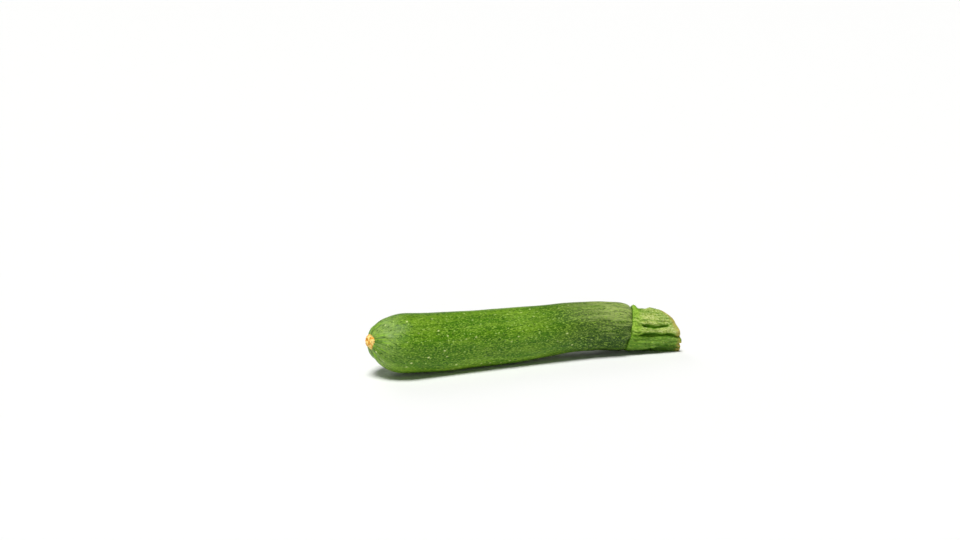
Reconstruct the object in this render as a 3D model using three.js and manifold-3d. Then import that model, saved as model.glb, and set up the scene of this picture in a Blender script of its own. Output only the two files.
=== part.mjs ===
// A courgette as picked: the fruit, the cut stem it hung from, and the corky scar where its flower sat.
// Millimetres, +Z up. It lies on its belly on Z = 0 with the blossom end towards -X and the stem towards +X,
// and its origin is the bottom centre of its own box.
import * as THREE from "three";
import { mergeVertices } from "three/addons/utils/BufferGeometryUtils.js";
import Module from "manifold-3d";

// Fruit, measured along its bent axis from the blossom seat to the stem seat.
const FRUIT_LENGTH = 171.8;
const BELLY_RADIUS = 18.8;
const BELLY_SHARE = 0.14; // where the thickest section lies, as a share of the fruit's length
const MIDDLE_RADIUS = 17.5;
const NECK_RADIUS = 15.2;
const SHOULDER_LENGTH = 12; // the rounded end that the stem grows from
const SHOULDER_DROP = 2.8; // how much narrower the stem seat's edge is than the neck
const FACE_COUNT = 5;
const FACE_DEPTH = 0.35; // how far the fruit's flattened faces lie inside its blunt corners

// Stem.
const STEM_LENGTH = 26.2; // along the axis, from the seat to the knife's cut
const COLLAR_RADIUS = 14.4;
const COLLAR_LENGTH = 3.2;
const STEM_TIP_RADIUS = 12.6;
const RIB_COUNT = 6;
const RIB_DEPTH = 2.4; // from the crest of a rib to the bottom of the furrow beside it
const FIRST_RIB = THREE.MathUtils.degToRad(16); // from straight up, towards -Y
const CUT_UP = THREE.MathUtils.degToRad(20); // the cut face leans up by this
const CUT_ASIDE = THREE.MathUtils.degToRad(23); // and towards +Y by this

// Blossom scar.
const SCAR_RADIUS = 5;
const SCAR_DOME = 1.5;
const SCAR_THICKNESS = 0.8; // of its straight edge

// How the whole courgette lies and bends.
const BELLY_FLAT = 0.7; // how much the belly is flattened where it rests
const NECK_ARCH = 3.5; // daylight under the neck
const BLOSSOM_LIFT = 7; // how far the blossom end turns up above the belly's axis
const BOW = 4; // how far the middle bows towards +Y
const SEAT_SKEW = 2.6; // how far the stem seat's -Y edge lies back towards the blossom
const STEM_TURN = 5; // how far the stem's tip turns back towards -Y

const JOINT_GAP = 0.3; // between pieces that sit on each other
const AROUND = 48; // facets round every section
const BODY_STEPS = 9; // facets along each stretch of the fruit's outline
const STEM_STEPS = 8;

const wasm = await Module();
wasm.setup();

// ---- The bent axis that every section is threaded on ----

const bellyAt = FRUIT_LENGTH * BELLY_SHARE;
const bellyHeight = (MIDDLE_RADIUS + BELLY_RADIUS) / 2 - FACE_DEPTH - BELLY_FLAT;
const stemEnd = FRUIT_LENGTH + STEM_LENGTH;

const axis = new THREE.CatmullRomCurve3(
  [
    new THREE.Vector3(0, 0, bellyHeight + BLOSSOM_LIFT),
    new THREE.Vector3(bellyAt, BOW * 0.45, bellyHeight + BLOSSOM_LIFT * 0.36),
    new THREE.Vector3(FRUIT_LENGTH * 0.38, BOW * 0.95, bellyHeight),
    new THREE.Vector3(FRUIT_LENGTH * 0.62, BOW, bellyHeight + 0.4),
    new THREE.Vector3(FRUIT_LENGTH * 0.82, BOW * 0.6, NECK_RADIUS + NECK_ARCH),
    new THREE.Vector3(FRUIT_LENGTH, 0, COLLAR_RADIUS + 0.2),
    new THREE.Vector3(stemEnd + STEM_TIP_RADIUS, -STEM_TURN, STEM_TIP_RADIUS - 1.4),
  ],
  false,
  "centripetal",
);
axis.arcLengthDivisions = 400;
const axisLength = axis.getLength();

// The place and directions of the axis at a distance from the blossom seat. Before the seat it runs on straight.
function stationAt(distance) {
  const share = THREE.MathUtils.clamp(distance / axisLength, 0, 1);
  const along = axis.getTangentAt(share);
  const centre = axis.getPointAt(share).addScaledVector(along, distance - share * axisLength);
  const aside = new THREE.Vector3(0, -1, 0).projectOnPlane(along).normalize();
  const up = new THREE.Vector3().crossVectors(aside, along);
  return { centre, along, aside, up };
}

// 1 at the stem seat, fading to 0 along the shoulder on one side of it and along the stem on the other.
function nearSeat(distance) {
  const shoulder = THREE.MathUtils.smoothstep(distance, FRUIT_LENGTH - 25, FRUIT_LENGTH);
  return shoulder * (1 - THREE.MathUtils.smoothstep(distance, FRUIT_LENGTH + JOINT_GAP, FRUIT_LENGTH + 12));
}

// Turns a straight turned shape, which stands on +Y, into one that follows the axis.
// swell(distance, angle) says how many times wider than round the section is there.
function threadOnAxis(turned, swell) {
  const places = turned.attributes.position;
  for (let i = 0; i < places.count; i++) {
    const distance = places.getY(i);
    const angle = Math.atan2(places.getX(i), places.getZ(i));
    const radius = Math.hypot(places.getX(i), places.getZ(i)) * swell(distance, angle);
    const skew = (SEAT_SKEW * nearSeat(distance) * radius * Math.sin(angle)) / COLLAR_RADIUS;
    const { centre, aside, up } = stationAt(distance - skew);
    const place = centre
      .addScaledVector(up, radius * Math.cos(angle))
      .addScaledVector(aside, radius * Math.sin(angle));
    places.setXYZ(i, place.x, place.y, place.z);
  }
  return turned;
}

// ---- Solids ----

function solidOf(geometry) {
  const bare = geometry.clone();
  bare.deleteAttribute("normal");
  bare.deleteAttribute("uv");
  const merged = mergeVertices(bare, 1e-3);
  return new wasm.Manifold(
    new wasm.Mesh({
      numProp: 3,
      vertProperties: new Float32Array(merged.attributes.position.array),
      triVerts: new Uint32Array(merged.index.array),
    }),
  );
}

function geometryOf(solid) {
  const mesh = solid.getMesh();
  const geometry = new THREE.BufferGeometry();
  geometry.setAttribute("position", new THREE.BufferAttribute(mesh.vertProperties, 3));
  geometry.setIndex(new THREE.BufferAttribute(mesh.triVerts, 1));
  geometry.computeVertexNormals();
  return geometry;
}

// A block with one face through a point, and all of it on the side that the direction points to.
function blockBeyond(point, direction) {
  const side = 4 * (FRUIT_LENGTH + STEM_LENGTH);
  const block = new THREE.BoxGeometry(side, side, side).translate(side / 2, 0, 0);
  const turn = new THREE.Quaternion().setFromUnitVectors(new THREE.Vector3(1, 0, 0), direction);
  return solidOf(block.applyQuaternion(turn).translate(point.x, point.y, point.z));
}

const table = blockBeyond(new THREE.Vector3(0, 0, 0), new THREE.Vector3(0, 0, -1));

// ---- Fruit ----

// Radius across X and distance along Y, from the blossom seat round the belly to the stem seat.
function fruitOutline() {
  const seat = SCAR_RADIUS + JOINT_GAP;
  const neckAt = FRUIT_LENGTH - SHOULDER_LENGTH;
  const outline = new THREE.Path();
  outline.moveTo(0, 0);
  outline.lineTo(seat, 0);
  outline.bezierCurveTo(
    seat + (BELLY_RADIUS - seat) * 0.6, bellyAt * 0.2,
    BELLY_RADIUS, bellyAt * 0.6,
    BELLY_RADIUS, bellyAt,
  );
  outline.bezierCurveTo(
    BELLY_RADIUS, bellyAt + (neckAt - bellyAt) * 0.12,
    MIDDLE_RADIUS + 0.4, bellyAt + (neckAt - bellyAt) * 0.25,
    MIDDLE_RADIUS, bellyAt + (neckAt - bellyAt) * 0.5,
  );
  outline.bezierCurveTo(
    MIDDLE_RADIUS - 0.5, bellyAt + (neckAt - bellyAt) * 0.7,
    NECK_RADIUS, bellyAt + (neckAt - bellyAt) * 0.8,
    NECK_RADIUS, neckAt,
  );
  outline.quadraticCurveTo(
    NECK_RADIUS, FRUIT_LENGTH - SHOULDER_LENGTH * 0.3,
    NECK_RADIUS - SHOULDER_DROP, FRUIT_LENGTH,
  );
  outline.lineTo(0, FRUIT_LENGTH);
  return outline.getPoints(BODY_STEPS);
}

function fruit() {
  const faces = (distance, angle) => {
    const fromEnds = Math.sin((Math.PI * THREE.MathUtils.clamp(distance, 0, FRUIT_LENGTH)) / FRUIT_LENGTH);
    const corner = Math.cos(FACE_COUNT * angle);
    return 1 + ((FACE_DEPTH / 2) * fromEnds * (corner - 1)) / BELLY_RADIUS;
  };
  const turned = new THREE.LatheGeometry(fruitOutline(), AROUND);
  return solidOf(threadOnAxis(turned, faces)).subtract(table);
}

// ---- Stem ----

function stemOutline() {
  const foot = FRUIT_LENGTH + JOINT_GAP;
  const collarTop = foot + COLLAR_LENGTH;
  const beyondCut = stemEnd + STEM_TIP_RADIUS;
  const outline = new THREE.Path();
  outline.moveTo(0, foot);
  outline.lineTo(COLLAR_RADIUS - 1, foot);
  outline.quadraticCurveTo(COLLAR_RADIUS, foot, COLLAR_RADIUS, foot + 1);
  outline.quadraticCurveTo(COLLAR_RADIUS, collarTop, COLLAR_RADIUS - 0.7, collarTop + 1);
  outline.bezierCurveTo(
    STEM_TIP_RADIUS + 0.8, collarTop + STEM_LENGTH * 0.4,
    STEM_TIP_RADIUS, stemEnd - STEM_LENGTH * 0.2,
    STEM_TIP_RADIUS, beyondCut,
  );
  outline.lineTo(0, beyondCut);
  return outline.getPoints(STEM_STEPS);
}

function stem() {
  const ribs = (distance, angle) => {
    const clearOfFoot = THREE.MathUtils.smoothstep(distance, FRUIT_LENGTH + 1, FRUIT_LENGTH + COLLAR_LENGTH * 2.5);
    const crest = Math.cos(RIB_COUNT * (angle - FIRST_RIB));
    return 1 + ((RIB_DEPTH / 2) * clearOfFoot * (crest - 1)) / STEM_TIP_RADIUS;
  };
  const { centre, along } = stationAt(stemEnd);
  const knife = along
    .clone()
    .applyAxisAngle(new THREE.Vector3(0, 1, 0), -CUT_UP)
    .applyAxisAngle(new THREE.Vector3(0, 0, 1), CUT_ASIDE);
  const turned = new THREE.LatheGeometry(stemOutline(), AROUND);
  return solidOf(threadOnAxis(turned, ribs)).subtract(blockBeyond(centre, knife)).subtract(table);
}

// ---- Blossom scar ----

function blossomScar() {
  const foot = -JOINT_GAP;
  const outline = new THREE.Path();
  outline.moveTo(0, foot - SCAR_THICKNESS - SCAR_DOME);
  outline.quadraticCurveTo(
    SCAR_RADIUS * 0.7, foot - SCAR_THICKNESS - SCAR_DOME,
    SCAR_RADIUS, foot - SCAR_THICKNESS,
  );
  outline.lineTo(SCAR_RADIUS, foot);
  outline.lineTo(0, foot);
  const turned = new THREE.LatheGeometry(outline.getPoints(6), AROUND);
  return solidOf(threadOnAxis(turned, () => 1));
}

// ---- The courgette ----

function piece(name, solid, colour, roughness) {
  const material = new THREE.MeshStandardMaterial({ color: colour, roughness, metalness: 0 });
  const mesh = new THREE.Mesh(geometryOf(solid), material);
  mesh.name = name;
  return mesh;
}

const courgette = new THREE.Group();
courgette.add(
  piece("fruit", fruit(), 0x5c8324, 0.42),
  piece("stem", stem(), 0x8eab3a, 0.62),
  piece("blossom_scar", blossomScar(), 0xe3c26a, 0.85),
);

const box = new THREE.Box3().setFromObject(courgette);
const middle = box.getCenter(new THREE.Vector3());
for (const mesh of courgette.children) mesh.position.set(-middle.x, -middle.y, -box.min.z);

export default courgette;
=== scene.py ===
# %% [markdown]
# # A courgette: skin, stem and scar
#
# A courgette is one grown thing with three organs that look quite different: the waxy, speckled fruit, the
# ribbed stub of the stalk that it was cut from, and the dry corky patch where its flower dropped off. The
# sizes are settled already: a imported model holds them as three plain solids. This lesson loads those solids
# as a fixed frame, models each organ again in fine detail around them, and gives each one its own finish.

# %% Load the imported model
import math
from collections import namedtuple

import bpy
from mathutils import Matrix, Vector, noise


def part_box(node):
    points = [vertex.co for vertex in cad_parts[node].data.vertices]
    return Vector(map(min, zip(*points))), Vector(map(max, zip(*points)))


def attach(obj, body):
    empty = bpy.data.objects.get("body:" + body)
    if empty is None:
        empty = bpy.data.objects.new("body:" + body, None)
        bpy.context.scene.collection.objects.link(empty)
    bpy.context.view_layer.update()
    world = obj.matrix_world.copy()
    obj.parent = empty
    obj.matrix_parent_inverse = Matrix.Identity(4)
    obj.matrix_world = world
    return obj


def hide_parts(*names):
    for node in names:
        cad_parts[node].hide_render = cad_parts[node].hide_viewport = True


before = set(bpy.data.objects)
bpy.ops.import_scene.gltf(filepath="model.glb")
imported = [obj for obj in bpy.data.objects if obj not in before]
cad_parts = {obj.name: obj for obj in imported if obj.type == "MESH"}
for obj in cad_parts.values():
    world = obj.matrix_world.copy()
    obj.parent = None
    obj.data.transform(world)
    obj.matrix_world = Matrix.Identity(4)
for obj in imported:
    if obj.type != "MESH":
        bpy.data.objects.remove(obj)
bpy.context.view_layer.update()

MM = 0.001  # the scene is in metres, and a courgette is easier to think of in millimetres
print("nodes:", sorted(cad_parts))

# %% [markdown]
# ## The camera
#
# The camera comes first, because every later choice is judged through it. It stands a metre away, low, and a
# little towards the blossom end, so the fruit runs away from it to the right and the stem is the far end. The
# courgette lies low and right of the middle of the view, so the camera aims above it and to its left. Aiming
# does this better than shifting the lens: a shift would follow the camera into every other view.

# %% Place the camera
CAMERA_TURN = math.radians(-20)  # from looking straight along +Y, towards the blossom end
CAMERA_RISE = math.radians(14)
CAMERA_DISTANCE = 1000 * MM
AIM_LEFT = 27.0 * MM
AIM_ABOVE = 56.9 * MM
LENS = 60  # in millimetres, like the sensor's width
SENSOR_WIDTH = 36

backwards = Vector((
    math.sin(CAMERA_TURN) * math.cos(CAMERA_RISE),
    -math.cos(CAMERA_TURN) * math.cos(CAMERA_RISE),
    math.sin(CAMERA_RISE),
))
rightwards = Vector((math.cos(CAMERA_TURN), math.sin(CAMERA_TURN), 0))
upwards = backwards.cross(rightwards)
aim = upwards * AIM_ABOVE - rightwards * AIM_LEFT

bpy.ops.object.camera_add(location=aim + backwards * CAMERA_DISTANCE)
camera = bpy.context.object
camera.name = "camera"
camera.rotation_euler = backwards.to_track_quat("Z", "Y").to_euler()
camera.data.lens = LENS
camera.data.sensor_width = SENSOR_WIDTH
bpy.context.scene.camera = camera
print("camera at", [round(c, 3) for c in camera.location])

# %% [markdown]
# ## Helpers for working by hand in code
#
# Operators act on whatever is selected, and loading the model left its solids selected. So a helper picks one
# object and nothing else, and every modifier is applied as soon as it is set, as a modeller would before
# going on to the next one.

# %% Pick one object, and apply a modifier to it
def only(thing):
    """Deselects everything else and makes this the active object."""
    bpy.ops.object.select_all(action="DESELECT")
    thing.select_set(True)
    bpy.context.view_layer.objects.active = thing


def apply_modifier(thing, kind, **settings):
    """Adds a modifier, sets it and applies it."""
    only(thing)
    modifier = thing.modifiers.new(kind.title(), kind)
    for name, value in settings.items():
        setattr(modifier, name, value)
    bpy.ops.object.modifier_apply(modifier=modifier.name)


# %% Fade a value in and out
def clamp(value, low=0.0, high=1.0):
    """The value, or the limit that it passes."""
    return max(low, min(high, value))


def fade(value, start, end):
    """0 before start, 1 after end and smooth between. With end before start it fades out instead."""
    share = clamp((value - start) / (end - start))
    return share * share * (3 - 2 * share)


def between(value, start, full, waning, end):
    """0 outside start and end. It fades in up to full, and out from waning on."""
    return fade(value, start, full) * fade(value, end, waning)


print("a fade from 0 to 10 passes", [round(fade(value, 0, 10), 2) for value in (0, 2, 5, 8, 10)])

# %% [markdown]
# ## The bent axis
#
# A courgette is a round body threaded on a bent line. It is far easier to model each organ straight, on the
# X axis, and to bend them all along the same line at the end. The line is drawn here through the middles of
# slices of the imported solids, so what is bent along it lands where the solids are.

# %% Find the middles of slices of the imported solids
def middle_of_slice(node, share):
    """The middle of a solid's slice, at a share of its length along X."""
    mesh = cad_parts[node].data
    low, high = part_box(node)
    x = low.x + share * (high.x - low.x)
    cut = []
    for edge in mesh.edges:
        a, b = (mesh.vertices[i].co for i in edge.vertices)
        if (a.x - x) * (b.x - x) < 0:
            cut.append(a.lerp(b, (x - a.x) / (b.x - a.x)))
    return Vector((min(p[i] for p in cut) + max(p[i] for p in cut)) / 2 for i in range(3))


FRUIT_SLICES = (0.09, 0.2, 0.34, 0.48, 0.62, 0.74, 0.86, 0.95)
STEM_SLICES = (0.3, 0.5, 0.7)

scar_low, scar_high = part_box("blossom_scar")
axis_places = [(scar_low + scar_high) / 2]
axis_places += [middle_of_slice("fruit", share) for share in FRUIT_SLICES]
axis_places += [middle_of_slice("stem", share) for share in STEM_SLICES]
print("slice middles at x", [round(place.x / MM) for place in axis_places], "mm")

# %% Draw the axis as a curve through them
STEPS_BETWEEN = 32  # straight steps from one point to the next

bpy.ops.curve.primitive_bezier_curve_add()
axis = bpy.context.object
axis.name = "axis"
line = axis.data.splines[0]
line.bezier_points.add(len(axis_places) - len(line.bezier_points))
for point, place in zip(line.bezier_points, axis_places):
    point.co = place
    point.handle_left_type = point.handle_right_type = "AUTO"
axis.data.resolution_u = STEPS_BETWEEN
axis.data.twist_mode = "Z_UP"
bpy.context.view_layer.update()

axis_line = axis.to_mesh()
axis_steps = [v.co.copy() for v in axis_line.vertices]
axis.to_mesh_clear()
print("axis:", len(axis_steps), "steps,", round(line.calc_length() / MM, 1), "mm")


# %% Read places and directions off the axis
def along_at(x):
    """How far along the axis it passes x."""
    gone = 0
    for here, there in zip(axis_steps, axis_steps[1:]):
        if there.x > x:
            return gone + (there - here).length * (x - here.x) / (there.x - here.x)
        gone += (there - here).length
    return gone


def on_axis(along):
    """The point on the axis at a distance along it, and the direction of the axis there."""
    for here, there in zip(axis_steps, axis_steps[1:]):
        step = (there - here).length
        if along <= step:
            return here.lerp(there, along / step), (there - here).normalized()
        along -= step
    return there, (there - here).normalized()


# %% Measure a solid's radius, and find where the seats are
ALL_ROUND = 12  # rays
UP_AND_DOWN = 2  # rays, for the shoulder, because the slant of the seat moves its sides


def radius_at(node, along, rays=ALL_ROUND):
    """A solid's mean radius, from rays that leave the axis square to it."""
    centre, heading = on_axis(along)
    side = heading.cross(Vector((0, 0, 1))).normalized()
    lengths = []
    for k in range(rays):
        turn = math.pi / 2 + math.tau * k / rays
        ray = side * math.cos(turn) + side.cross(heading) * math.sin(turn)
        hit, place, _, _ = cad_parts[node].ray_cast(centre, ray)
        if hit:
            lengths.append((place - centre).length)
    return sum(lengths) / len(lengths)


fruit_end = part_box("fruit")[1].x
stem_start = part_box("stem")[0].x
BLOSSOM_SEAT = 1.45 * MM  # half the scar's depth and the gap behind it
STEM_SEAT = along_at((fruit_end + stem_start) / 2)
print("fruit runs from", round(BLOSSOM_SEAT / MM, 1), "to", round(STEM_SEAT / MM, 1), "mm along the axis")
for distance in range(10, 170, 20):
    radius = radius_at("fruit", BLOSSOM_SEAT + distance * MM)
    print("   its radius", distance, "mm along is", round(radius / MM, 1), "mm")

# %% [markdown]
# ## Turned bodies
#
# All three organs start as a turned shape: a filled circle, extruded ring by ring and resized each time, the
# way a potter's profile grows. Rings close together keep a tight curve, and wide apart they save faces.

# %% Extrude a circle ring by ring
def turned_body(name, outline, sides):
    """A closed straight body on the X axis, with one ring for each (along, radius) of its outline."""
    (along, radius), *further = outline
    bpy.ops.object.select_all(action="DESELECT")
    bpy.ops.mesh.primitive_circle_add(
        vertices=sides, radius=radius, fill_type="NGON",
        location=(along, 0, 0), rotation=(0, math.radians(90), 0),
    )
    body = bpy.context.object
    body.name = name
    bpy.ops.object.transform_apply(location=True, rotation=True, scale=True)
    bpy.ops.object.mode_set(mode="EDIT")
    bpy.ops.mesh.select_all(action="SELECT")
    for next_along, next_radius in further:
        bpy.ops.mesh.extrude_region_move(TRANSFORM_OT_translate={"value": (next_along - along, 0, 0)})
        widen = next_radius / radius
        bpy.ops.transform.resize(value=(1, widen, widen), center_override=(next_along, 0, 0))
        along, radius = next_along, next_radius
    bpy.ops.mesh.select_all(action="SELECT")
    bpy.ops.mesh.normals_make_consistent(inside=False)
    bpy.ops.object.mode_set(mode="OBJECT")
    print(name, "has", len(body.data.vertices), "vertices in", len(outline), "rings")
    return body


# %% [markdown]
# Three things are then done to every body. Subdivision rounds its faces, the axis bends it, and shading lets
# light run over it without a step from face to face.

# %% Round, bend, shade and measure a body
ROUNDINGS = 3  # each splits every face in four


def round_off(body):
    apply_modifier(body, "SUBSURF", levels=ROUNDINGS, render_levels=ROUNDINGS)


def bend(body):
    apply_modifier(body, "CURVE", object=axis, deform_axis="POS_X")


def shade(body):
    only(body)
    bpy.ops.object.shade_smooth()


def measure(body):
    size = [round(side / MM, 1) for side in body.dimensions]
    print(body.name, "has", len(body.data.polygons), "faces and is", size, "mm")


# %% [markdown]
# ## Remembering how the skin grew
#
# Streaks follow the skin, not space: they run lengthwise and close up towards both ends. So while a body is
# still straight, each vertex is given its place on an imaginary cylinder of the fruit's own girth: the
# distance along the outline, and the direction round it. The note stays with the vertex when the body is
# bent and smoothed, and every lengthwise pattern reads it. Read as a cylinder in space, it has no seam.

# %% Note each vertex's place on the grown skin
GIRTH_RADIUS = 17.5 * MM


def walk_of(outline):
    """The distance along an outline to each of its rings."""
    walked = [0.0]
    for (a, ra), (b, rb) in zip(outline, outline[1:]):
        walked.append(walked[-1] + math.hypot(b - a, rb - ra))
    return walked


def note_growth(body, outline):
    """Stores the distance along the outline, and a point on the girth circle, for each vertex."""
    walked = walk_of(outline)
    note = body.data.attributes.new("grown", "FLOAT_VECTOR", "POINT")
    for vertex, entry in zip(body.data.vertices, note.data):
        radius = math.hypot(vertex.co.y, vertex.co.z)
        ring = min(
            range(len(outline)),
            key=lambda i: abs(outline[i][0] - vertex.co.x) + abs(outline[i][1] - radius),
        )
        turn = math.atan2(-vertex.co.y, vertex.co.z)
        entry.vector = (walked[ring], GIRTH_RADIUS * math.cos(turn), GIRTH_RADIUS * math.sin(turn))


# %% [markdown]
# The stem doesn't sit square on the fruit: the seat between them is turned a little towards the viewer. Both
# pieces are slid lengthwise by the same amount there, more the further out, so they still meet.

# %% Turn the seat between fruit and stem
SEAT_SKEW = 2.6 * MM  # how far its near edge lies back towards the blossom
SEAT_REACH = 14.4 * MM  # the radius at which it lies back that far
SKEW_START = STEM_SEAT - 25 * MM  # on the fruit
SKEW_END = STEM_SEAT + 12 * MM  # on the stem


def skew_seat(body):
    """Slides a straight body's vertices lengthwise near the stem seat."""
    for vertex in body.data.vertices:
        near = between(vertex.co.x, SKEW_START, STEM_SEAT, STEM_SEAT, SKEW_END)
        vertex.co.x += SEAT_SKEW * near * vertex.co.y / SEAT_REACH


# %% [markdown]
# ## Relief in the skin
#
# Small shapes are raised once a body is smooth. A rule reads where a vertex grew and says how high it should
# lie. The rules' heights are added up and kept as two vertex groups, what rises and what sinks, and each is
# displaced once. Where nothing is raised nothing moves, so the finest faces can't fold. Most rules rise and
# sink by as much, so the surface stays about where it was and the agreed size holds.

# %% Raise the surface by rules
Spot = namedtuple("Spot", "index along turn grown place")


def raise_skin(body, *reliefs):
    """Moves the surface along its normals. Each relief is (height, rule): in by half the height where
    rule(spot) is 0, and out by half where it is 1."""
    most = sum(height for height, _ in reliefs) / 2
    notes = [Vector(note.vector) for note in body.data.attributes["grown"].data]
    rising, sinking = (body.vertex_groups.new(name=name) for name in ("rising", "sinking"))
    for vertex, grown in zip(body.data.vertices, notes):
        spot = Spot(vertex.index, grown.x, math.atan2(grown.z, grown.y), grown, vertex.co)
        lift = sum(height * (rule(spot) - 0.5) for height, rule in reliefs)
        (rising if lift > 0 else sinking).add([vertex.index], abs(lift) / most, "REPLACE")
    apply_modifier(body, "DISPLACE", strength=most, mid_level=0, vertex_group="rising")
    apply_modifier(body, "DISPLACE", strength=-most, mid_level=0, vertex_group="sinking")
    body.vertex_groups.clear()


def press_flat(body):
    """Flattens whatever hangs below the surface that the courgette lies on."""
    for vertex in body.data.vertices:
        vertex.co.z = max(vertex.co.z, 0)


def lumps(spot, size, lengthwise=1.0, seed=0.0):
    """Smooth noise from 0 to 1 in lumps of a size, drawn out lengthwise."""
    place = spot.grown / size
    place.x = place.x / lengthwise + seed
    return clamp(0.5 + 0.7 * noise.noise(place))


# %% [markdown]
# ## The fruit
#
# The fruit is a slim club: widest just behind the blossom end, with a long straight neck and a rounded
# shoulder that the stem grows from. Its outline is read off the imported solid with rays, so it can't drift
# from the agreed size. It is modelled straight, bent, and then shrink-wrapped on to the solid, which gives it
# the solid's five faint faces and the flat of the belly that it rests on.

# %% Model the fruit straight
FRUIT_SIDES = 32
CAP_LENGTH = 24 * MM
CAP_STEPS = 9
MIDDLE_STEPS = 17
SHOULDER_LENGTH = 10 * MM
SHOULDER_STEPS = 7
SEAT_RADIUS = 5.3 * MM
POLE_RADIUS = 0.4 * MM  # the smallest ring at either end
INNER_RING = 0.6  # the share of a seat's radius where one more ring keeps it flat
INSIDE_END = 0.4 * MM  # how far inside its end the shoulder is measured
fruit_length = STEM_SEAT - BLOSSOM_SEAT


def fruit_stations():
    """Distances from the blossom seat, close together where the outline curves."""
    cap = [CAP_LENGTH * (1 - math.cos(math.pi / 2 * k / CAP_STEPS)) for k in range(1, CAP_STEPS)]
    straight = fruit_length - CAP_LENGTH - SHOULDER_LENGTH
    middle = [CAP_LENGTH + straight * k / MIDDLE_STEPS for k in range(MIDDLE_STEPS + 1)]
    shoulder = [
        fruit_length - SHOULDER_LENGTH * (1 - math.sin(math.pi / 2 * k / SHOULDER_STEPS))
        for k in range(1, SHOULDER_STEPS)
    ]
    return cap + middle + shoulder


fruit_outline = [(BLOSSOM_SEAT, radius) for radius in (POLE_RADIUS, SEAT_RADIUS * INNER_RING, SEAT_RADIUS)]
for station in fruit_stations():
    rays = ALL_ROUND if station < fruit_length - SHOULDER_LENGTH else UP_AND_DOWN
    fruit_outline.append((BLOSSOM_SEAT + station, radius_at("fruit", BLOSSOM_SEAT + station, rays)))
seat_edge = radius_at("fruit", STEM_SEAT - INSIDE_END, UP_AND_DOWN)
fruit_outline += [(STEM_SEAT, radius) for radius in (seat_edge, seat_edge * INNER_RING, POLE_RADIUS)]

fruit = turned_body("courgette_fruit", fruit_outline, FRUIT_SIDES)
note_growth(fruit, fruit_outline)
skew_seat(fruit)

# %% Bend it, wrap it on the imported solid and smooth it
bend(fruit)
apply_modifier(fruit, "SHRINKWRAP", target=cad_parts["fruit"], wrap_method="NEAREST_SURFACEPOINT")
round_off(fruit)
shade(fruit)
measure(fruit)

# %% [markdown]
# A real skin is never turned true. Soft lumps a finger wide break up its highlight, blunt ridges run up the
# shoulder towards the stem, and the skin puckers into short folds round the scar. On top the shoulder swells
# a little over the collar. Sculpting would do it too, but rules can be read, and changed one at a time.

# %% Give the fruit its lumps, ridges and puckers
FRUIT_WALK = walk_of(fruit_outline)[-1]
BLOSSOM_WALK = SEAT_RADIUS  # the walk over the seat, from its middle to its edge
SHOULDER_WALK = FRUIT_WALK - seat_edge
RIDGES = 10

# Where each starts, is full, starts to fade and ends, along the skin.
RIDGES_ALONG = [SHOULDER_WALK + offset * MM for offset in (-60, -8, -3, 0)]
SWELL_ALONG = [SHOULDER_WALK + offset * MM for offset in (-34, -9, -4, 1)]
PUCKERS_ALONG = [BLOSSOM_WALK + offset * MM for offset in (0, 5, 3, 17)]


def wavy(spot, wander, size):
    """A wave round the body with a crest for each ridge, which wanders by that many radians."""
    return 0.5 + 0.5 * math.cos(RIDGES * spot.turn + wander * lumps(spot, size))


def shoulder_ridges(spot):
    return 0.5 + between(spot.along, *RIDGES_ALONG) * (wavy(spot, 3, 18 * MM) - 0.5)


def blossom_puckers(spot):
    return 0.5 + between(spot.along, *PUCKERS_ALONG) * (wavy(spot, 4, 9 * MM) - 0.5)


def shoulder_swell(spot):
    """The shoulder stands proud of the collar on top."""
    return 0.5 + 0.5 * between(spot.along, *SWELL_ALONG) * max(0, math.cos(spot.turn))


raise_skin(
    fruit,
    (2.2 * MM, shoulder_swell),
    (1.0 * MM, lambda spot: lumps(spot, 13 * MM, 1.8)),
    (0.8 * MM, shoulder_ridges),
    (0.8 * MM, blossom_puckers),
    (0.2 * MM, lambda spot: lumps(spot, 1.7 * MM, 7, 3.0)),
)
press_flat(fruit)
measure(fruit)

# %% [markdown]
# ## The stem
#
# The stalk of a courgette is tough and angular. It flares into a fleshy collar where it meets the fruit, and
# unequal ribs run up it. Its section is drawn twice, at the collar and at the cut, as a line round a clock
# face. Each row is one crest or hollow: its direction at the collar, in degrees from straight up towards the
# viewer, and how far out it lies there as a share of the stem's radius; then the same two at the cut. Between
# them the rows shift smoothly, so ribs lean and narrow as they rise. Narrow furrows are cut in afterwards.

# %% Draw the stem's section and its furrows
STEM_SECTION = [
    (-14, 0.90, -14, 1.00),
    (16, 0.90, 14, 0.97),
    (56, 1.02, 46, 1.01),
    (66, 0.93, 56, 0.95),
    (78, 1.01, 76, 1.01),
    (95, 0.86, 96, 0.92),
    (116, 1.00, 107, 0.98),
    (142, 1.06, 116, 0.99),
    (153, 0.76, 125, 0.87),
    (164, 0.82, 136, 1.02),
    (177, 0.97, 150, 1.10),
    (190, 0.95, 170, 1.02),
    (204, 0.88, 204, 0.90),
    (228, 0.99, 228, 0.98),
    (248, 1.01, 248, 1.00),
    (262, 0.86, 262, 0.90),
    (287, 0.98, 287, 0.98),
    (303, 1.01, 303, 1.00),
    (320, 0.90, 322, 0.92),
    (346, 0.90, 346, 1.00),
]
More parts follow.
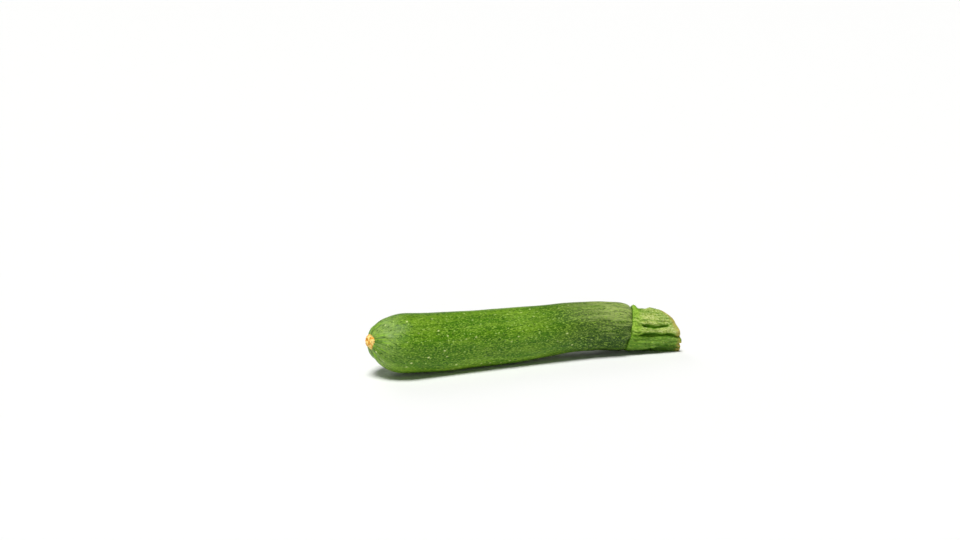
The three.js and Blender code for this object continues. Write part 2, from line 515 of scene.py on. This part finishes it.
# Direction at the collar, bulge in the middle, direction at the cut, half width, depth, start and end.
FURROWS = [
    (56, 15, 52, 6.0, 0.17, 3.5 * MM, 24 * MM),  # the crescent under the broad top face
    (100, -9, 98, 8.0, 0.17, 3.0 * MM, 29 * MM),  # the deep one on the viewer's side
    (153, 0, 125, 8.0, 0.08, 5 * MM, 28 * MM),  # the shaded one under the lowest rib
    (204, 0, 204, 7.0, 0.14, 4 * MM, 34 * MM),
    (262, 2, 262, 6.0, 0.17, 4 * MM, 34 * MM),
    (320, -2, 322, 6.0, 0.12, 4 * MM, 34 * MM),
]
STEM_LENGTH = 26.2 * MM
COLLAR_KEPT = 2 * MM  # up to here the section is the collar's
CUT_REACHED = 24 * MM  # and from here on it is the cut's
FURROW_START = 3 * MM  # the length over which a furrow deepens
FURROW_END = 7 * MM  # and over which it runs out
FURROW_SHARPNESS = 1.3  # 1 would be a V, and more than 1 is narrower at the bottom


def furrowed_share(turn, along):
    """How far out the stem's surface lies in a direction, at a distance from its foot."""
    rise = fade(along, COLLAR_KEPT, CUT_REACHED)
    first = STEM_SECTION[0][0]
    degrees = (math.degrees(turn) - first) % 360 + first
    places = [
        (turn_low + rise * (turn_high - turn_low), share_low + rise * (share_high - share_low))
        for turn_low, share_low, turn_high, share_high in STEM_SECTION
    ]
    share = places[0][1]
    for (a, share_a), (b, share_b) in zip(places, places[1:]):
        if a <= degrees <= b:
            share = share_a + (share_b - share_a) * fade(degrees, a, b)
    for turn_low, bulge, turn_high, half_width, depth, start, end in FURROWS:
        gone = clamp(along / STEM_LENGTH)
        centre = turn_low + gone * (turn_high - turn_low) + bulge * math.sin(math.pi * gone)
        away = clamp(abs(degrees - centre) / half_width)
        reach = between(along, start, start + FURROW_START, end - FURROW_END, end)
        share -= depth * reach * (1 - away) ** FURROW_SHARPNESS
    return share


half_way = [round(furrowed_share(math.radians(d), STEM_LENGTH / 2), 2) for d in range(0, 360, 45)]
print("half way up, every 45 degrees, the surface lies out by", half_way)


# %% Model the stem straight and smooth it
STEM_SIDES = 64
STEM_FOOT = STEM_SEAT + 0.05 * MM  # where the profile's distances start

stem_profile = [
    (0.6, 0.4), (0.5, 8), (0.3, 12.2), (0.1, 13.9), (0.3, 14.6), (1.0, 14.95),  # the seat and the lip
    (2.0, 14.95), (3.6, 14.7), (5.6, 14.4), (8, 14.1), (11, 13.8), (14.5, 13.5),  # up the stalk
    (18, 13.2), (22, 12.9), (25.2, 12.8), (26.2, 12.4),
    (26.2, 11.4), (25.8, 10.4), (25.6, 8), (25.7, 5.5), (25.4, 3), (24.9, 1.6), (24.7, 0.4),  # the cut's face
]
stem_outline = [(STEM_FOOT + along * MM, radius * MM) for along, radius in stem_profile]
stem = turned_body("courgette_stem", stem_outline, STEM_SIDES)
note_growth(stem, stem_outline)
round_off(stem)

# %% Press in its furrows, draw out its collar's lobes and slant its cut
CUT_UP = math.tan(math.radians(20))
CUT_ASIDE = math.tan(math.radians(23))
COLLAR_ROUND = 1.5 * MM  # up to here the collar is round but for its lobes
COLLAR_SHAPED = 6.5 * MM  # and from here on the stem has its whole section
LOBE_HEIGHT = 6 * MM  # how far up the stem the collar's lobes reach
LOBE_HOLLOW = 0.08  # how far in the edge lies between lobes, as a share of the radius
LOBE_DROOP = 0.8 * MM  # how far a lobe's edge reaches over the fruit
BIG_LOBE = math.radians(135)  # the direction of the collar's largest lobe
BIG_LOBE_WIDTH = 0.55  # in radians
BIG_LOBE_FLARE = 0.05  # how far out it lies, as a share of the radius
BIG_LOBE_DROOP = 0.9 * MM

crests = stem.data.attributes.new("crest", "FLOAT", "POINT")
for vertex, crest in zip(stem.data.vertices, crests.data):
    place = vertex.co
    along = place.x - STEM_FOOT
    turn = math.atan2(-place.y, place.z)
    share = furrowed_share(turn, along)
    lobe = clamp((share - 0.8) / 0.2)  # 0 in a hollow of the section and 1 on a crest
    big = math.exp(-(((turn - BIG_LOBE) / BIG_LOBE_WIDTH) ** 2))
    near_foot = fade(along, LOBE_HEIGHT, 0)
    flare = near_foot * (BIG_LOBE_FLARE * big + LOBE_HOLLOW * (lobe - 1))
    crest.value = share
    spread = 1 + fade(along, COLLAR_ROUND, COLLAR_SHAPED) * (share - 1) + flare
    place.y *= spread
    place.z *= spread
    place.x -= along / STEM_LENGTH * (place.y * CUT_ASIDE + place.z * CUT_UP)
    place.x -= near_foot * (LOBE_DROOP * lobe + BIG_LOBE_DROOP * big)
skew_seat(stem)
bend(stem)
shade(stem)
measure(stem)

# %% [markdown]
# The stalk is fibrous and bristly. Low lengthwise wrinkles and rows of tiny knobs cover it, so it looks matt
# beside the fruit. Modelling them as real relief keeps their shadows right from every side.

# %% Give the stem its fibres
LIP_RING = 5  # in the stem's profile, the crown of the collar's lip
CUT_RING = 15  # and the edge of the cut
stem_walk = walk_of(stem_outline)
COLLAR_WALK = stem_walk[LIP_RING]
CUT_WALK = stem_walk[CUT_RING]
FIBRES_ALONG = (COLLAR_WALK - 1 * MM, COLLAR_WALK + 1.5 * MM, CUT_WALK - 2 * MM, CUT_WALK)
PITH_ALONG = [CUT_WALK + offset * MM for offset in (0, 1.5, 8, 11)]
DEEP_SHARE = 0.66  # a furrow that goes in this far is bare
SHALLOW_SHARE = 0.86
crest_notes = [note.value for note in stem.data.attributes["crest"].data]


def on_stalk(spot):
    """1 on the stalk between the collar's lip and the cut, 0 beyond them and deep in a furrow."""
    return between(spot.along, *FIBRES_ALONG) * fade(crest_notes[spot.index], DEEP_SHARE, SHALLOW_SHARE)


def stalk_lumps(size, lengthwise, seed):
    """A rule for lumps on the stalk only."""
    return lambda spot: 0.5 + on_stalk(spot) * (lumps(spot, size, lengthwise, seed) - 0.5)


def cut_pith(spot):
    """The spongy face of the cut, which has no lengthwise grain. It is smooth at its rim and its heart."""
    return 0.5 + between(spot.along, *PITH_ALONG) * 0.6 * noise.noise(spot.place / (1.1 * MM))


raise_skin(
    stem,
    (1.0 * MM, stalk_lumps(4.5 * MM, 2.0, 5.0)),
    (1.1 * MM, stalk_lumps(1.4 * MM, 3.0, 9.0)),
    (0.6 * MM, stalk_lumps(0.8 * MM, 1.4, 2.0)),
    (0.6 * MM, cut_pith),
)
press_flat(stem)
measure(stem)

# %% [markdown]
# ## The blossom scar
#
# Where the flower dropped off, the fruit sealed itself with cork. It is a shallow dome of dry tissue that
# cracked into plates as the fruit went on swelling under it, with a pit in the middle where the style stood.

# %% Model the scar straight
SCAR_SIDES = 40
scar_profile = [
    (1.6, 0.3), (1.6, 4.0), (1.4, 5.1), (0.9, 5.5), (0.3, 5.3), (-0.4, 4.8), (-1.1, 4.1), (-1.8, 3.3),
    (-2.3, 2.4), (-2.5, 1.7), (-2.2, 1.1), (-1.9, 0.6), (-1.8, 0.3),
]
scar_outline = [(BLOSSOM_SEAT + along * MM, radius * MM) for along, radius in scar_profile]
scar = turned_body("courgette_blossom_scar", scar_outline, SCAR_SIDES)
note_growth(scar, scar_outline)
for vertex in scar.data.vertices:
    turn = math.atan2(-vertex.co.y, vertex.co.z)
    # Wider across than it is high, and not quite round.
    uneven = 1 - 0.12 * math.cos(2 * turn) + 0.04 * math.cos(5 * turn)
    vertex.co.y *= uneven
    vertex.co.z *= uneven
round_off(scar)

# %% Crack it into plates, then bend it with the rest
def cork_plates(spot):
    """High on the plates and low in the cracks between them."""
    apart, _ = noise.voronoi(spot.place / (1.5 * MM))
    return fade(apart[1] - apart[0], 0.0, 0.35)


raise_skin(
    scar,
    (0.35 * MM, cork_plates),
    (0.25 * MM, lambda spot: clamp(0.5 + 0.6 * noise.noise(spot.place / (0.6 * MM)))),
)
bend(scar)
shade(scar)
measure(scar)

# %% [markdown]
# ## Finishes
#
# Every finish is built from the same few steps: noise of a real grain size decides where a colour shows, and
# that colour is laid over what is there. So one small function adds a node, and each finish lists its layers
# from the lowest up. Sockets are called by their numbers where their names repeat or run long. A MapRange
# reads 0, turns the span from 1 to 2 into the span from 3 to 4, which is 0 to 1 unless it is set, and a
# colour Mix lays 7 over 6 by the share in 0.

# %% Add a node, and read a colour
def colour(hex_code):
    """An sRGB hex colour as the linear one that shaders mix."""
    parts = [int(hex_code[i:i + 2], 16) / 255 for i in (1, 3, 5)]
    return [p / 12.92 if p <= 0.04045 else ((p + 0.055) / 1.055) ** 2.4 for p in parts] + [1]


def add(tree, kind, inputs=None, **settings):
    """Adds a node with its settings, and fills its inputs with numbers, other nodes or their outputs."""
    made = tree.nodes.new("ShaderNode" + kind)
    for name, value in settings.items():
        setattr(made, name, value)
    for socket, value in (inputs or {}).items():
        if isinstance(value, bpy.types.Node):
            value = value.outputs[0]
        if isinstance(value, bpy.types.NodeSocket):
            tree.links.new(value, made.inputs[socket])
        else:
            made.inputs[socket].default_value = value
    return made


def new_material(name):
    """A material with nothing but a shader wired to its output."""
    material = bpy.data.materials.new(name)
    material.use_nodes = True
    tree = material.node_tree
    tree.nodes.clear()
    shader = add(tree, "BsdfPrincipled")
    add(tree, "OutputMaterial", {"Surface": shader})
    return material, tree, shader


def lay_colours(tree, under, place, regions, layers):
    """Lays colours over each other. Each layer is (region, grain in mm, times longer than wide, noise where
    it starts, noise where it is full, strength, colour)."""
    for region, grain, longer, start, full, strength, paint in layers:
        drawn_out = add(tree, "VectorMath", {0: place, 1: (1 / longer, 1, 1)}, operation="MULTIPLY")
        noisy = add(
            tree, "TexNoise",
            {"Vector": drawn_out, "Scale": 1 / (grain * MM), "Detail": 3.0, "Roughness": 0.6},
        )
        share = add(
            tree, "MapRange", {0: noisy, 1: start, 2: full, 4: strength}, interpolation_type="SMOOTHSTEP",
        )
        share = add(tree, "Math", {0: share, 1: regions[region]}, operation="MULTIPLY")
        under = add(tree, "Mix", {0: share, 6: under, 7: colour(paint)}, data_type="RGBA").outputs[2]
    return under


# %% [markdown]
# ### Waxy skin
#
# Courgette skin is a thin, tough rind under a coat of natural wax. The green lies in fine lengthwise streaks,
# and over it are scattered pale specks, where pores opened: many fine ones, and fewer that are a millimetre
# wide. It is darker towards the stem, where pale threads run along the shoulder, and paler near the scar,
# where short rays point to it. The top of the neck is lightened with a painted sheen, and the threads fade
# out on the lower side as painted shade. The wax makes it satin: a soft highlight with a ragged edge, never a
# mirror.

# %% Map the skin's regions
skin, tree, shader = new_material("waxy_courgette_skin")
grown = add(tree, "Attribute", attribute_name="grown").outputs["Vector"]
split = add(tree, "SeparateXYZ", {0: grown})
turn = add(tree, "Math", {0: split.outputs[2], 1: split.outputs[1]}, operation="ARCTAN2")

# Where along the fruit each region starts and is full.
regions = {"all": 1.0}
for region, start, full in (
    ("neck", SHOULDER_WALK - 75 * MM, SHOULDER_WALK - 25 * MM),
    ("shoulder", SHOULDER_WALK - 58 * MM, SHOULDER_WALK - 6 * MM),
    ("blossom end", BLOSSOM_WALK + 28 * MM, BLOSSOM_WALK + 3 * MM),
    ("rays", BLOSSOM_WALK + 13 * MM, BLOSSOM_WALK + 1 * MM),
):
    regions[region] = add(tree, "MapRange", {0: split, 1: start, 2: full}, interpolation_type="SMOOTHSTEP")

# The top of the neck, lightened with a painted sheen.
top = add(tree, "MapRange", {0: split.outputs[1], 1: 0, 2: GIRTH_RADIUS}, interpolation_type="SMOOTHSTEP")
regions["painted_top_sheen"] = add(tree, "Math", {0: top, 1: regions["shoulder"]}, operation="MULTIPLY")

# Threads up the shoulder, as many as its ridges, which wander a little. They fade out towards the lower side
# as painted shade.
bends = add(tree, "TexNoise", {"Vector": grown, "Scale": 1 / (14 * MM), "Detail": 1.0})
bends = add(tree, "Math", {0: bends, 1: 6.0}, operation="MULTIPLY")
ridge = add(tree, "Math", {0: turn, 1: float(RIDGES), 2: bends}, operation="MULTIPLY_ADD")
ridge = add(tree, "Math", {0: ridge}, operation="COSINE")
ridge = add(tree, "MapRange", {0: ridge, 1: -0.6, 2: 1.0, 3: 0.25})
# Painted shade: the pale threads show only on the upper side and fade out below.
painted_lit_upper_side = add(tree, "MapRange", {0: split.outputs[1], 1: -0.4 * GIRTH_RADIUS, 2: 0.3 * GIRTH_RADIUS})
ridge = add(tree, "Math", {0: ridge, 1: painted_lit_upper_side}, operation="MULTIPLY")
regions["ridges"] = add(tree, "Math", {0: ridge, 1: regions["shoulder"]}, operation="MULTIPLY")
print("regions of the skin:", sorted(regions))

# %% Lay the greens of the skin
green = lay_colours(tree, colour("#4a7a08"), grown, regions, (
    ("all", 11, 4, 0.40, 0.62, 0.9, "#6a9418"),  # broad clouds of yellower green
    ("all", 4.5, 7, 0.50, 0.64, 0.45, "#80a52c"),  # pale streaks
    ("all", 3.5, 9, 0.50, 0.36, 0.50, "#2d5a04"),  # dark streaks
    ("neck", 12, 3, 0.15, 0.45, 0.90, "#1b3c02"),  # the darker neck
    ("blossom end", 9, 2, 0.3, 0.6, 0.62, "#9fbb6a"),  # the paler, bloomy blossom end
    ("painted_top_sheen", 3, 6, 0.25, 0.5, 0.85, "#afbf70"),  # painted sheen on the top of the neck
    ("all", 0.7, 3, 0.52, 0.34, 0.90, "#234c02"),  # dark mottle
    ("all", 0.6, 2.4, 0.49, 0.66, 0.80, "#98bd44"),  # pale mottle
    ("ridges", 0.9, 16, 0.46, 0.60, 0.75, "#a3b866"),  # threads on the shoulder
    ("shoulder", 1.2, 14, 0.49, 0.36, 0.80, "#1c3f08"),  # dark lines between them
    ("rays", 2.4, 5, 0.50, 0.62, 0.70, "#98d428"),  # bright rays at the scar
    ("rays", 1.6, 6, 0.50, 0.36, 0.75, "#2b5a0c"),  # dark rays
))

# %% [markdown]
# The specks are pores in the rind. Each cell of a Voronoi pattern holds one or none, and a little noise makes
# them ragged. Modelling thousands of them would be slow, and they are almost flat. They are read in space,
# not in growth, because they stay the same size right up to the scar, and they thin out up the shoulder.

# %% Scatter the specks
place = add(tree, "TexCoord").outputs["Object"]
ragged = add(tree, "TexNoise", {"Vector": place, "Scale": 1 / (1.1 * MM), "Detail": 1.0}).outputs["Color"]
ragged = add(tree, "VectorMath", {0: ragged, 3: 0.6 * MM}, operation="SCALE")
scattered = add(tree, "VectorMath", {0: place, 1: ragged}, operation="ADD")
pores = 0.0
fewer = add(tree, "Math", {0: regions["shoulder"], 1: -0.8, 2: 1.0}, operation="MULTIPLY_ADD")
for spacing, radius, kept, strength, paint in (
    (2.0 * MM, 0.42 * MM, 0.75, 0.80, "#b3d56e"),  # fine ones, drawn half as wide again as they really are
    (4.2 * MM, 0.56 * MM, 0.80, 1.00, "#e0ee98"),  # coarse ones
):
    drawn_out = add(tree, "VectorMath", {0: scattered, 1: (0.7, 1, 1)}, operation="MULTIPLY")
    cells = add(tree, "TexVoronoi", {"Vector": drawn_out, "Scale": 1 / spacing})
    chance = add(tree, "SeparateColor", {0: cells.outputs["Color"]})
    edge = radius / spacing
    dot = add(
        tree, "MapRange", {0: cells.outputs["Distance"], 1: 1.3 * edge, 2: 0.5 * edge},
        interpolation_type="SMOOTHSTEP",
    )
    shown = add(tree, "MapRange", {0: chance.outputs[0], 1: 1 - kept, 2: 1.3 - kept})
    faint = add(tree, "MapRange", {0: chance.outputs[1], 1: -0.4, 4: strength})
    dot = add(tree, "Math", {0: dot, 1: shown}, operation="MULTIPLY")
    dot = add(tree, "Math", {0: dot, 1: faint}, operation="MULTIPLY")
    dot = add(tree, "Math", {0: dot, 1: fewer}, operation="MULTIPLY")
    green = add(tree, "Mix", {0: dot, 6: green, 7: colour(paint)}, data_type="RGBA").outputs[2]
    pores = add(tree, "Math", {0: dot, 1: pores}, operation="MAXIMUM")
tree.links.new(green, shader.inputs["Base Color"])

# %% [markdown]
# The wax is satin, worn a little drier in patches, and dimpled like fine leather. So one noise sets both how
# rough it is and how high it lies, and the specks stand a hair above it.

# %% Wax the skin
PLANT_IOR = 1.42  # about that of plant tissue and its wax

grain = add(tree, "TexNoise", {"Vector": grown, "Scale": 1 / (0.9 * MM), "Detail": 3.0})
worn = add(tree, "MapRange", {0: grain, 1: 0.3, 2: 0.7, 3: 0.36, 4: 0.52})
tree.links.new(worn.outputs[0], shader.inputs["Roughness"])
shader.inputs["IOR"].default_value = PLANT_IOR
shader.inputs["Specular IOR Level"].default_value = 0.22
relief = add(tree, "Math", {0: pores, 1: 0.6, 2: grain}, operation="MULTIPLY_ADD")
bump = add(tree, "Bump", {"Height": relief, "Strength": 0.7, "Distance": 0.18 * MM})
tree.links.new(bump.outputs[0], shader.inputs["Normal"])
fruit.data.materials.append(skin)
print("skin:", len(tree.nodes), "nodes")

# %% [markdown]
# ### Fibrous stalk and its cut
#
# The stalk is matt and yellower than the fruit. Its crests are dry and pale, and its collar fleshy and
# bright.
# Its furrows and its lower side are deep green, darkened with painted shade. The knife's cut shows a rind
# with a dried tan rim, a ring of green veins inside it, pale spongy pith, and a shrunken brown heart. A
# painted map would need the stalk unwrapped. The notes kept on its vertices already know which part is which.

# %% Map the stalk's regions
stalk, tree, shader = new_material("fibrous_cut_stalk")
grown = add(tree, "Attribute", attribute_name="grown").outputs["Vector"]
crest = add(tree, "Attribute", attribute_name="crest").outputs["Fac"]
split = add(tree, "SeparateXYZ", {0: grown})

regions = {"all": 1.0}
for region, source, start, full in (
    ("crests", crest, 0.86, 0.99),
    # Painted shade in the furrows.
    ("furrows", crest, 0.88, 0.72),
    ("collar", split, COLLAR_WALK + 6 * MM, COLLAR_WALK + 2 * MM),
    ("lip", split, COLLAR_WALK + 0.2 * MM, COLLAR_WALK - 1.2 * MM),
    ("cut edge", split, CUT_WALK - 4 * MM, CUT_WALK - 0.5 * MM),
    ("cut", split, CUT_WALK + 0.2 * MM, CUT_WALK + 0.8 * MM),
    # Painted shade on the lower side, and darker still right underneath.
    ("painted_shade_lower_side", split.outputs[1], 0.2 * GIRTH_RADIUS, -0.35 * GIRTH_RADIUS),
    ("belly", split.outputs[1], -0.62 * GIRTH_RADIUS, -0.85 * GIRTH_RADIUS),
    ("veins out", split, CUT_WALK + 1.4 * MM, CUT_WALK + 2.4 * MM),
    ("veins in", split, CUT_WALK + 4.8 * MM, CUT_WALK + 3.6 * MM),
    ("heart", split, CUT_WALK + 9.0 * MM, CUT_WALK + 11.5 * MM),
):
    regions[region] = add(tree, "MapRange", {0: source, 1: start, 2: full}, interpolation_type="SMOOTHSTEP")
regions["veins"] = add(tree, "Math", {0: regions["veins out"], 1: regions["veins in"]}, operation="MULTIPLY")
regions["dried rim"] = add(
    tree, "MapRange", {0: split, 1: CUT_WALK + 1.6 * MM, 2: CUT_WALK + 0.6 * MM},
    interpolation_type="SMOOTHSTEP",
)
print("regions of the stalk:", sorted(regions))

# %% Colour the rind and the pith
rind = lay_colours(tree, colour("#6a9a18"), grown, regions, (
    ("crests", 5, 3, 0.2, 0.5, 0.9, "#b8ca60"),  # dry, pale crests
    ("crests", 0.7, 1.8, 0.46, 0.68, 0.8, "#dbe2a2"),  # pale bristle feet
    ("collar", 4, 1, 0.2, 0.5, 0.8, "#88b922"),  # the fleshy collar
    ("collar", 0.8, 1.4, 0.46, 0.66, 0.65, "#c2e060"),  # its pale bristle feet
    ("painted_shade_lower_side", 6, 2, 0.1, 0.4, 0.82, "#467a0a"),  # painted shade: deeper green on the lower side
    ("painted_shade_lower_side", 0.8, 1.6, 0.47, 0.64, 0.7, "#9cc044"),  # with a few bristles
    ("belly", 6, 2, 0.1, 0.4, 0.75, "#2c5206"),  # painted shade, darkest right underneath
    ("furrows", 5, 3, 0.1, 0.4, 0.8, "#3a660a"),  # painted shade in the deep furrows
    ("lip", 4, 1, 0.1, 0.4, 0.5, "#5a8a16"),  # the collar's shaded lip
    ("all", 1.4, 8, 0.52, 0.34, 0.75, "#548414"),  # green lines between the fibres
    ("all", 0.7, 1.8, 0.52, 0.32, 0.75, "#457208"),  # green between the bristles
    ("cut edge", 2.2, 1, 0.32, 0.56, 0.85, "#c2ac56"),  # dried by the air
))
pith = lay_colours(tree, colour("#c9ca84"), grown, regions, (
    ("all", 1.0, 1, 0.4, 0.65, 0.9, "#e8e5b8"),  # spongy pith
    ("veins", 1.6, 1, 0.45, 0.58, 0.75, "#8f9f3e"),  # the ring of veins
    ("heart", 2.0, 1, 0.2, 0.5, 0.7, "#a98d4e"),  # the shrunken middle
    ("dried rim", 1.5, 1, 0.2, 0.6, 0.9, "#b7964a"),  # the tan rim
))
both = add(tree, "Mix", {0: regions["cut"], 6: rind, 7: pith}, data_type="RGBA")
tree.links.new(both.outputs[2], shader.inputs["Base Color"])

shader.inputs["Roughness"].default_value = 0.62
shader.inputs["IOR"].default_value = PLANT_IOR
shader.inputs["Specular IOR Level"].default_value = 0.3
bristle = add(tree, "TexNoise", {"Vector": grown, "Scale": 1 / (0.8 * MM), "Detail": 3.0})
bump = add(tree, "Bump", {"Height": bristle, "Strength": 0.8, "Distance": 0.5 * MM})
tree.links.new(bump.outputs[0], shader.inputs["Normal"])
stem.data.materials.append(stalk)
print("stalk:", len(tree.nodes), "nodes")

# %% [markdown]
# ### Dry cork
#
# Cork is dead, airy tissue: quite matt, pale on the plates, orange to brown down in the cracks. It has no
# lengthwise grain, so its colours are read in space.

# %% Make the cork
cork, tree, shader = new_material("dry_scar_cork")
place = add(tree, "TexCoord").outputs["Object"]
tan = lay_colours(tree, colour("#eba63a"), place, {"all": 1.0}, (
    ("all", 2.0, 1, 0.38, 0.58, 0.9, "#ffe892"),  # bleached plates
    ("all", 0.8, 1, 0.44, 0.32, 0.65, "#b8772c"),  # brown cracks and pits
))
tree.links.new(tan, shader.inputs["Base Color"])
shader.inputs["Roughness"].default_value = 0.88
shader.inputs["Specular IOR Level"].default_value = 0.2
crumb = add(tree, "TexNoise", {"Vector": place, "Scale": 1 / (0.4 * MM), "Detail": 3.0})
bump = add(tree, "Bump", {"Height": crumb, "Strength": 0.6, "Distance": 0.2 * MM})
tree.links.new(bump.outputs[0], shader.inputs["Normal"])
scar.data.materials.append(cork)
print("cork:", len(tree.nodes), "nodes")

# %% [markdown]
# ## Floor and light
#
# White paper on a table, and one wide softbox high above, a little in front and to the left. The paper is
# matt, so nothing shows on it but the shadow. Light from so high leaves the belly dark and throws a short
# shadow right under it. A weaker lamp from behind draws a soft line along the back. The studio's white walls
# shine only near the horizon, so low views get a pale backdrop without the shadows being filled in from
# above.

# %% Lay the floor
FLOOR_WIDTH = 8  # metres

bpy.ops.mesh.primitive_plane_add(size=FLOOR_WIDTH)
floor = bpy.context.object
floor.name = "floor"
paper, tree, shader = new_material("white_paper_sweep")
shader.inputs["Base Color"].default_value = colour("#f5f5f4")
shader.inputs["Roughness"].default_value = 0.9
shader.inputs["Specular IOR Level"].default_value = 0.1
floor.data.materials.append(paper)
print("floor:", [round(d, 1) for d in floor.dimensions], "m")

# %% Light the walls and hang the lamps
WALL_LIGHT = 0.85
CEILING_LIGHT = 0.06
WALL_TOP = math.sin(math.radians(8))  # heights on a sphere of directions
CEILING_EDGE = math.sin(math.radians(12))
world = bpy.data.worlds.new("white_studio")
bpy.context.scene.world = world
world.use_nodes = True
sky = world.node_tree
height = add(sky, "SeparateXYZ", {0: add(sky, "TexCoord")}).outputs[2]
shine = add(
    sky, "MapRange", {0: height, 1: WALL_TOP, 2: CEILING_EDGE, 3: WALL_LIGHT, 4: CEILING_LIGHT},
    interpolation_type="SMOOTHSTEP",
)
sky.links.new(shine.outputs[0], sky.nodes["Background"].inputs["Strength"])
sky.nodes["Background"].inputs["Color"].default_value = (1, 1, 1, 1)


def softbox(name, turn, rise, strength, spread):
    """Even light from a turn and a rise in degrees, as wide as its spread. Turn 0 is the viewer's side."""
    turn, rise = math.radians(turn), math.radians(rise)
    towards = Vector((math.sin(turn) * math.cos(rise), -math.cos(turn) * math.cos(rise), math.sin(rise)))
    bpy.ops.object.light_add(type="SUN", rotation=towards.to_track_quat("Z", "Y").to_euler())
    lamp = bpy.context.object
    lamp.name = name
    lamp.data.energy = strength
    lamp.data.angle = math.radians(spread)
    print(name, "shines from", [round(c, 2) for c in towards])


softbox("overhead_softbox", turn=-40, rise=71, strength=3.2, spread=22)
softbox("back_lamp", turn=190, rise=38, strength=0.35, spread=30)
bpy.context.scene.view_settings.view_transform = "Standard"

# %% [markdown]
# ## Tie the pieces to the model
#
# Nothing on a courgette moves, so all three organs ride on the imported model's one body. Each stands in for
# the solid that it was modelled around. The floor belongs to the stage and not to the courgette. The axis has
# done its work and goes.

# %% Tie every piece to the frame
for piece, node, slot in (
    (fruit, "fruit", "skin"), (stem, "stem", "stem"), (scar, "blossom_scar", "cork"),
):
    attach(piece, "root")
    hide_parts(node)
    print(piece.name, "stands in for", node)
bpy.data.objects.remove(axis)
